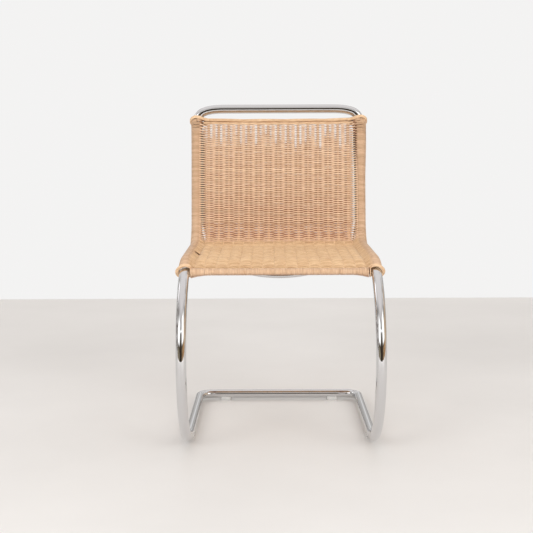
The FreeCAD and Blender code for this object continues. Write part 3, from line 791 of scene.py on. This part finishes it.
ROLL_HALF = 207.6 * MM
ROLL_RADIUS = 7.0 * MM
FLARE = 4.4 * MM
FLARE_TILT = 2.4 * MM
FLARE_START = 160 * MM
FLARE_LENGTH = 48 * MM
END_INWARDS = 7.4 * MM
BELOW_ANGLE = math.radians(155)
BELOW_EDGE = (0.45, 0.95)
BELOW_SHADE = 3.9 * MM
BINDING_PITCH = 2.95 * MM
BINDING_REED = 1.5 * MM


def front_point(x, out, angle):
    """Point at x, out from the border's middle, angle from straight up towards the front."""
    y, z, _ = side_line(BORDER_RUN)
    return x, y - out * math.sin(angle), z + out * math.cos(angle)


def bind_turn(strands, count):
    """One turn of the binding, with painted shade underneath."""
    size = BINDING_REED * RNG.uniform(0.95, 1.05)
    shift = RNG.gauss(0, 0.12) * MM
    points, outward, proud = [], [], []
    for step in range(25):
        angle = math.radians(15 * step)
        x = -ROLL_HALF + BINDING_PITCH * (count + step / 24) + shift
        full = max(0.0, (abs(x) - FLARE_START) / FLARE_LENGTH) ** 2.2
        points.append(front_point(x, ROLL_RADIUS + full * (FLARE - FLARE_TILT * math.cos(angle)), angle))
        outward.append((0, -math.sin(angle), math.cos(angle)))
        proud.append(OPEN_PROUD - BELOW_SHADE * smooth(math.cos(angle - BELOW_ANGLE), *BELOW_EDGE))
    strands.add(points, size, 6, RNG.random(), (np.array(outward), np.array(proud)))


def close_end(strands, side):
    """The reed winds inwards over the end of the rod."""
    points = []
    for step in range(49):
        u = step / 48
        angle = side * math.radians(20 * step)
        x = side * (ROLL_HALF + (0.6 + 0.8 * math.sin(math.pi * u)) * MM)
        out = ROLL_RADIUS + FLARE - FLARE_TILT * math.cos(angle) - END_INWARDS * u
        points.append(front_point(x, out, angle))
    strands.add(points, BINDING_REED, 6, RNG.random())


def bind_front():
    """The whole binding of the front edge."""
    strands = Strands()
    for count in range(int(2 * ROLL_HALF / BINDING_PITCH)):
        bind_turn(strands, count)
    for side in (-1, 1):
        close_end(strands, side)
    strands.make("front_roll", BINDING, "binding", "front_border_binding")


bind_front()


# Top border: a thick roll over a row of three canes twisted together, hanging a little.

TOP_LIFT = 2.6 * MM
ROLL_UP = 277.9 * MM
TWIST_UP = 268.7 * MM
BEHIND_UP = 273.4 * MM
BEHIND_RISE = 3.6 * MM
BEHIND_END = (195 * MM, 208 * MM)
BEHIND_PROUD = -4.2 * MM
TUCK_UP = 272.0 * MM
TUCK_PROUD = -5.0 * MM
TUCK_DEPTH = -2.9 * MM


def top_level(x, up):
    """Height up the posts of a line of the top border that is up in the middle."""
    return up + TOP_LIFT * (abs(x) / HALF_SPAN) ** 3


def rope(strands, up, half, steps, offset, radius, period, phase=0.0):
    """Three canes twisted about a line along the top border."""
    for strand in range(3):
        points = []
        for x in np.linspace(-half, half, steps):
            angle = phase + 2 * math.pi * (x / period + strand / 3)
            points.append(tuple(np.array(on_back(x, top_level(x, up), 0))
                                + np.array(BACK_UP) * offset * math.sin(angle)
                                + np.array(BACK_OUT) * offset * math.cos(angle)))
        strands.add(points, radius, 8, RNG.uniform(0.2, 0.9))


def back_cover(depths):
    """Cover of a cane behind the top border, seen from the front of the back, that sets its painted shade."""
    return np.array([BACK_OUT] * len(depths)), np.array(depths)


def top_border():
    """The roll, the twisted row, and the canes behind them that close the gaps between."""
    roll = Strands()
    rope(roll, ROLL_UP, half=200 * MM, steps=150, offset=1.85 * MM, radius=2.5 * MM, period=330 * MM)
    roll.make("top_roll", CANE, "cane", "top_border_roll")
    row = Strands()
    rope(row, TWIST_UP, half=206 * MM, steps=220, offset=1.9 * MM, radius=1.75 * MM, period=-81.6 * MM,
         phase=0.6)
    behind, depths = [], []
    for x in np.linspace(-212 * MM, 212 * MM, 64):
        end = smooth(abs(x), *BEHIND_END)
        behind.append(on_back(x, top_level(x, BEHIND_UP) + BEHIND_RISE * end, BEHIND_PROUD))
        depths.append((-1.7 - 1.6 * end) * MM)
    row.add(behind, 2.6 * MM, 8, 0.3, back_cover(depths))
    for side in (-1, 1):
        spots = np.linspace(196, 212, 9) * MM
        tucked = [on_back(side * x, TUCK_UP + 0.15 * (x - HALF_SPAN), TUCK_PROUD) for x in spots]
        row.add(tucked, 2.2 * MM, 8, 0.3, back_cover([TUCK_DEPTH] * len(spots)))
    row.make("top_twist", CANE, "cane", "top_twist_row")


top_border()


# Collars: canes that leave the borders, pass over the tube, round its outside and back beneath.

# Top collars, in millimetres: reach from the tube's middle, height up the posts and how much that rises.
COLLAR_REACH = 17.0
COLLAR_UP = 275.6
COLLAR_RISE = 9.9


def top_collar(side):
    """Two canes side by side, high in front of the tube and low behind it."""
    strands = Strands()
    name = "left" if side < 0 else "right"
    more = 0.4 if side < 0 else 2.0
    for lane in (-1, 1):
        knots = [
            (190, 279.2 + lane * 1.5, 2.6),
            (198, 280.2 + lane * 1.7, 4.4),
            (204.5, 281.4 + lane * 1.8, 9.0),
        ]
        for degrees in range(-28, 236, 24):
            angle = math.radians(degrees)
            reach = COLLAR_REACH + more * smooth(degrees, -28, 20)
            level = COLLAR_UP + COLLAR_RISE * math.cos(angle) + lane * 1.8
            knots.append((HALF_GAUGE / MM + reach * math.sin(angle), level, reach * math.cos(angle)))
        knots += [
            (206, 268.4 + lane * 1.6, -11.0),
            (199, 270.0 + lane * 1.2, -6.0),
            (192, 270.5 + lane, -3.0),
        ]
        points = [on_back(side * x * MM, level * MM, proud * MM) for x, level, proud in spline(knots, 5)]
        strands.add(points, 2.35 * MM, 10, RNG.uniform(0.3, 0.9))
    strands.make("top_collar_cane_" + name, CANE, "cane", "top_collar_" + name)


# Front collars: degrees round the tube, reach from its middle and distance behind the border.
FRONT_COLLAR = [
    (-74, 14.6, 8.0), (-52, 16.0, 4.5), (-28, 16.8, 1.5), (0, 17.0, -0.5), (28, 17.0, -1.5),
    (56, 17.0, -1.5), (84, 16.9, -0.5), (112, 16.7, 1.0), (140, 16.4, 2.5), (170, 16.2, 4.0),
    (200, 16.0, 5.5), (232, 15.8, 7.5), (262, 15.4, 9.0),
]
BUNDLE_RADIUS = 2.1 * MM


def front_collar(side):
    """A bundle of three canes from the top of the border, over the tube and back under the seat."""
    strands = Strands()
    name = "left" if side < 0 else "right"
    more = 0.4 if side < 0 else -0.4
    knots = []
    for degrees, reach, back in FRONT_COLLAR:
        angle = math.radians(degrees)
        reach = (reach + more) * MM
        knots.append((HALF_GAUGE + reach * math.sin(angle), BORDER_RUN + back * MM, reach * math.cos(angle)))
    middle = spline(knots, 5)
    total = len(middle) - 1
    for strand in range(3):
        points = []
        for i, (x, run, proud) in enumerate(middle):
            twist = 2 * math.pi * (strand / 3 + 0.55 * i / total)
            away = math.atan2(x - HALF_GAUGE, proud)
            x += BUNDLE_RADIUS * math.cos(twist) * math.sin(away)
            proud += BUNDLE_RADIUS * math.cos(twist) * math.cos(away)
            points.append(in_sheet(side * x, run + BUNDLE_RADIUS * math.sin(twist), proud))
        strands.add(points, 2.3 * MM, 10, RNG.uniform(0.3, 0.9))
    strands.make("front_collar_cane_" + name, CANE, "cane", "front_collar_" + name)


for side in (-1, 1):
    top_collar(side)
    front_collar(side)


# Carried-over solids get their finishes.

def paint(node, material):
    """One finish all over a node."""
    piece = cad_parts[node]
    piece.data.materials.clear()
    piece.data.materials.append(material)


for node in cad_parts:
    if node in ("upper_frame_tube", "base_frame_tube", "seat_cross_brace"):
        paint(node, CHROME)
    elif node.startswith("joint"):
        paint(node, STEEL)
    elif node.startswith("floor_glide"):
        paint(node, GLIDE)
    elif node.startswith("stake") or node == "front_border_core":
        paint(node, STAKE)


# Floor and lights.

def lay_floor(corners, material):
    """The floor that the chair stands on."""
    mesh = bpy.data.meshes.new("floor")
    mesh.from_pydata(corners, [], [(0, 1, 2, 3)])
    mesh.materials.append(material)
    item = bpy.data.objects.new("floor", mesh)
    bpy.context.scene.collection.objects.link(item)


def area_light(name, place, target, size, power):
    """A soft rectangle of light that the chrome doesn't mirror."""
    data = bpy.data.lights.new(name, "AREA")
    data.shape = "RECTANGLE"
    data.size, data.size_y = size
    data.energy = power
    lamp = bpy.data.objects.new(name, data)
    lamp.location = place
    lamp.rotation_euler = (Vector(target) - Vector(place)).to_track_quat("-Z", "Y").to_euler()
    lamp.visible_glossy = False
    bpy.context.scene.collection.objects.link(lamp)


lay_floor([(-7, -2.4, 0), (7, -2.4, 0), (7, 2.3, 0), (-7, 2.3, 0)], FLOOR)
for side in (-1, 1):
    area_light("soft_side", (side * 1.9, -3.5, 1.5), (0, 0, 0.55), (1.2, 1.6), 51)
area_light("soft_strip", (0, -3.6, 3.2), (0, 0, 0.5), (2.4, 0.5), 10)
area_light("soft_rear", (0, 3.0, 2.8), (0, 0.4, 0.2), (2.6, 1.2), 12)


# Room for the chrome to reflect: colours by degrees of height behind the camera and behind the chair.
FAR_END = [
    (-90, (0.20, 0.15, 0.11)), (-26, (0.26, 0.165, 0.10)), (-9, (0.17, 0.12, 0.085)),
    (-3, (0.11, 0.08, 0.055)), (14, (0.12, 0.10, 0.075)), (21, (0.27, 0.25, 0.22)),
    (33, (0.58, 0.57, 0.55)), (48, (0.80, 0.77, 0.76)), (60, (0.92, 0.875, 0.86)),
]
PALE_END = [
    (-90, (0.50, 0.48, 0.45)), (-2, (0.50, 0.50, 0.50)), (14, (0.85, 0.84, 0.84)), (38, (0.95, 0.92, 0.91)),
]

# Parts of the room: degrees of turn from behind the camera, degrees of height, colour and soft edge.
WALLS = [
    ((-135, -62), (-6, 30), (0.17, 0.14, 0.115), 6),
    ((-66, -22), (-14, 6), (0.36, 0.31, 0.22), 4),
    ((-20, 18), (-16, 12), (0.06, 0.045, 0.035), 5),
    ((24, 56), (-14, 8), (0.42, 0.29, 0.17), 4),
    ((56, 128), (-4, 28), (0.85, 0.66, 0.48), 5),
    ((44, 74), (-5, 10), (0.70, 0.40, 0.19), 3),
]
WINDOWS = [
    ((-30, 42), (28, 31), (1.5, 1.5, 1.5), 1.2),
    ((-62, -25), (12, 38), (2.2, 2.18, 2.15), 3),
    ((26, 63), (13, 44), (2.2, 2.18, 2.15), 3),
    ((-124, -104), (25, 37), (1.9, 1.88, 1.9), 3),
]
MOTTLE = (0.42, 0.40, 0.36)
GLINT = (1.15, 1.13, 1.10)
SEEN_STRAIGHT = (0.90, 0.895, 0.89)


def studio_world():
    """The room in reflections and as light, and an even pale colour where it is seen straight."""
    world = bpy.data.worlds.new("studio")
    bpy.context.scene.world = world
    world.use_nodes = True
    graph = Graph(world.node_tree)
    background = graph.nodes["Background"].inputs
    where = graph.place("Generated")
    x, y, z = graph.axes(where)
    turned = graph.reckon("ARCTAN2", x, graph.reckon("MULTIPLY", y, -1.0))
    turned = graph.reckon("MULTIPLY", turned, 180 / math.pi)
    raised = graph.reckon("MULTIPLY", graph.reckon("ARCSINE", z), 180 / math.pi)

    def by_height(stops):
        height = graph.reckon("MULTIPLY_ADD", raised, 1 / 180, 0.5)
        return graph.ramp(height, [((degrees + 90) / 180, colour) for degrees, colour in stops])

    def part(under, across, height, colour, soft):
        edges = []
        for value, (low, high) in ((turned, across), (raised, height)):
            edges.append(graph.ease(value, low - soft, low + soft))
            edges.append(graph.ease(value, high + soft, high - soft))
        sides = graph.reckon("MULTIPLY", edges[0], edges[1])
        ends = graph.reckon("MULTIPLY", edges[2], edges[3])
        return graph.blend(graph.reckon("MULTIPLY", sides, ends), under, colour)

    room = graph.blend(graph.ease(y, 0.35, -0.35), by_height(PALE_END), by_height(FAR_END))
    for wall in WALLS:
        room = part(room, *wall)
    mottle = graph.ease(graph.noise(where, scale=7.0, detail=3.0), 0.42, 0.62)
    mottle = graph.reckon("MULTIPLY", mottle, graph.ease(raised, 62, 35))
    room = graph.blend(graph.reckon("MULTIPLY", mottle, 0.8), room, MOTTLE, "MULTIPLY")
    for opening in WINDOWS:
        room = part(room, *opening)
    glints = graph.ease(graph.noise(where, scale=16.0, detail=2.0), 0.52, 0.56)
    sides = graph.reckon("MULTIPLY", graph.ease(turned, -165, -145), graph.ease(turned, -58, -70))
    ends = graph.reckon("MULTIPLY", graph.ease(raised, -10, 0), graph.ease(raised, 30, 20))
    band = graph.reckon("MULTIPLY", sides, ends)
    room = graph.blend(graph.reckon("MULTIPLY", band, glints), room, GLINT)
    rays = graph.nodes.new("ShaderNodeLightPath").outputs
    graph.feed(background["Color"], graph.blend(rays["Is Camera Ray"], room, SEEN_STRAIGHT))
    graph.feed(background["Strength"], graph.reckon("MULTIPLY_ADD", rays["Is Diffuse Ray"], -0.15, 1.0))


studio_world()


# Camera, fitted to the outline in the photo, with focus and shift in the photo's pixels.

PHOTO_WIDTH = 533
FOCUS = 1033.747
SHIFT = -2.939
SENSOR = 36
EYE = (-24.9 * MM, -2569.5 * MM, 710.0 * MM)
EYE_YAW = math.radians(0.175)
EYE_DIP = math.radians(6.366)
EYE_ROLL = math.radians(-0.232)

camera = bpy.data.cameras.new("photo_view")
camera.sensor_width = SENSOR
camera.lens = SENSOR * FOCUS / PHOTO_WIDTH
camera.shift_y = SHIFT / PHOTO_WIDTH
eye = bpy.data.objects.new("photo_view", camera)
eye.matrix_world = (
    Matrix.Translation(EYE)
    @ Matrix.Rotation(EYE_YAW, 4, "Z")
    @ Matrix.Rotation(math.pi / 2 - EYE_DIP, 4, "X")
    @ Matrix.Rotation(EYE_ROLL, 4, "Z")
)
bpy.context.scene.collection.objects.link(eye)
bpy.context.scene.camera = eye
bpy.context.scene.view_settings.view_transform = "Standard"
